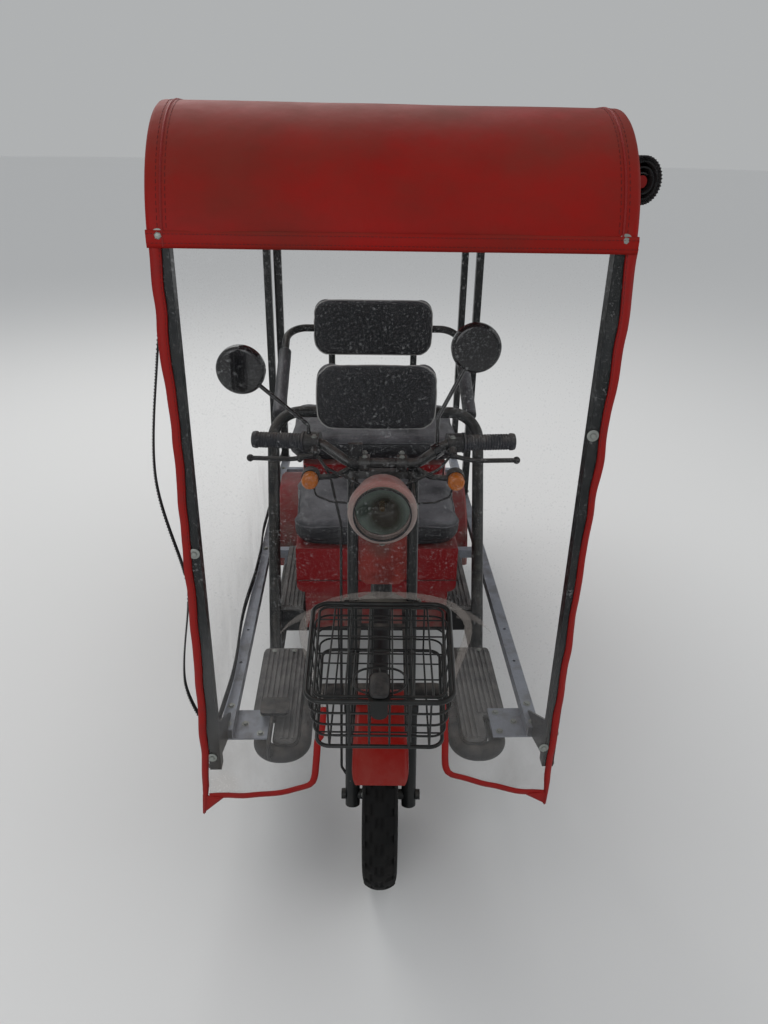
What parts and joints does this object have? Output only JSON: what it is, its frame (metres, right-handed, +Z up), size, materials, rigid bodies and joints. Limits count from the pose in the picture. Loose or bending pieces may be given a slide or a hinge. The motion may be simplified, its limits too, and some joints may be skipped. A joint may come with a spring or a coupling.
{
  "type": "auto rickshaw",
  "caption": "Three-wheeled electric passenger tricycle with handlebar steering, front wire basket, driver's seat, rear bench and a red rain canopy",
  "frame": {"origin": "on the ground, in the middle of the overall length and width", "axes": "+Z up, +Y to the rear of the vehicle, +X to the vehicle's left side"},
  "size_m": [0.8899, 2.2211, 1.65],
  "materials": {
    "tyre": "matt",
    "rim_black": "satin",
    "black_paint": "gloss",
    "black_steel": "satin",
    "red_plastic": "gloss",
    "faded_red": "faded",
    "galvanised": "dull",
    "black_vinyl": "soft sheen",
    "grey_rubber": "matt",
    "red_vinyl": "coated, satin",
    "clear_pvc": "clear, soft",
    "curtain_film": "rolled film",
    "amber": "gloss",
    "lamp_glass": "clear",
    "red_lens": "gloss",
    "black_plastic": "matt",
    "black_wire": "satin",
    "grey_casting": "cast"
  },
  "bodies": {
    "vehicle": {"chassis_frame": "black_steel", "leaf_springs": "black_steel", "rear_axle": "black_steel", "floor_plates": "black_steel", "floor_mats": "grey_rubber", "brake_pedal": "black_steel", "seat_base": "red_plastic", "battery_pack": "black_plastic", "driver_cushions": "black_vinyl", "passenger_cushions": "black_vinyl", "passenger_body": "red_plastic", "driver_hoop": "black_paint", "arm_rail": "black_paint", "arm_rests": "black_vinyl", "rear_fenders": "red_plastic", "tail_lamps": "red_lens", "base_frame": "galvanised", "front_posts": "black_paint", "rear_posts": "black_paint", "roof_frame": "black_paint", "roof_cover": "red_vinyl", "windscreen": "clear_pvc", "curtain_roll": "curtain_film", "hanging_curtain": "clear_pvc"},
    "steering": {"fork_sliders": "black_paint", "fork_stanchions": "black_paint", "fork_crowns": "black_paint", "front_brackets": "black_steel", "grips": "black_plastic", "bar_controls": "black_plastic", "mirrors": "black_plastic", "headlamp_housing": "faded_red", "headlamp_glass": "lamp_glass", "apron_panel": "red_plastic", "indicator_lenses": "amber", "front_fender": "red_plastic", "basket": "black_wire", "cables": "black_plastic"},
    "lid": {"basket_lid": "black_wire"},
    "front_wheel": {"front_tyre": "tyre", "front_rim": "rim_black"},
    "rear_wheel_left": {"rear_left_tyre": "tyre", "rear_left_rim": "rim_black"},
    "rear_wheel_right": {"rear_right_tyre": "tyre", "rear_right_rim": "rim_black"}
  },
  "joints": [
    {"name": "steer", "type": "hinge", "parent": "vehicle", "child": "steering", "pos_m": [0, -0.54847, 0.78456], "axis": [0, 0.2588, 0.9659], "range_deg": [-32.6, 37.4], "deforming": ["windscreen"]},
    {"name": "basket_lid_hinge", "type": "hinge", "parent": "steering", "child": "lid", "pos_m": [-0.01091, -0.81778, 0.78494], "axis": [-0.9991, 0.0404, -0.0108], "range_deg": [0, 75]},
    {"name": "front_wheel_spin", "type": "hinge", "parent": "steering", "child": "front_wheel", "pos_m": [-0.00147, -0.73997, 0.20499], "axis": [0.9991, -0.0404, 0.0108], "continuous": true},
    {"name": "rear_wheel_left_spin", "type": "hinge", "parent": "vehicle", "child": "rear_wheel_left", "pos_m": [0.29, 0.57, 0.205], "axis": [1, 0, 0], "continuous": true},
    {"name": "rear_wheel_right_spin", "type": "hinge", "parent": "vehicle", "child": "rear_wheel_right", "pos_m": [-0.29, 0.57, 0.205], "axis": [1, 0, 0], "continuous": true}
  ]
}
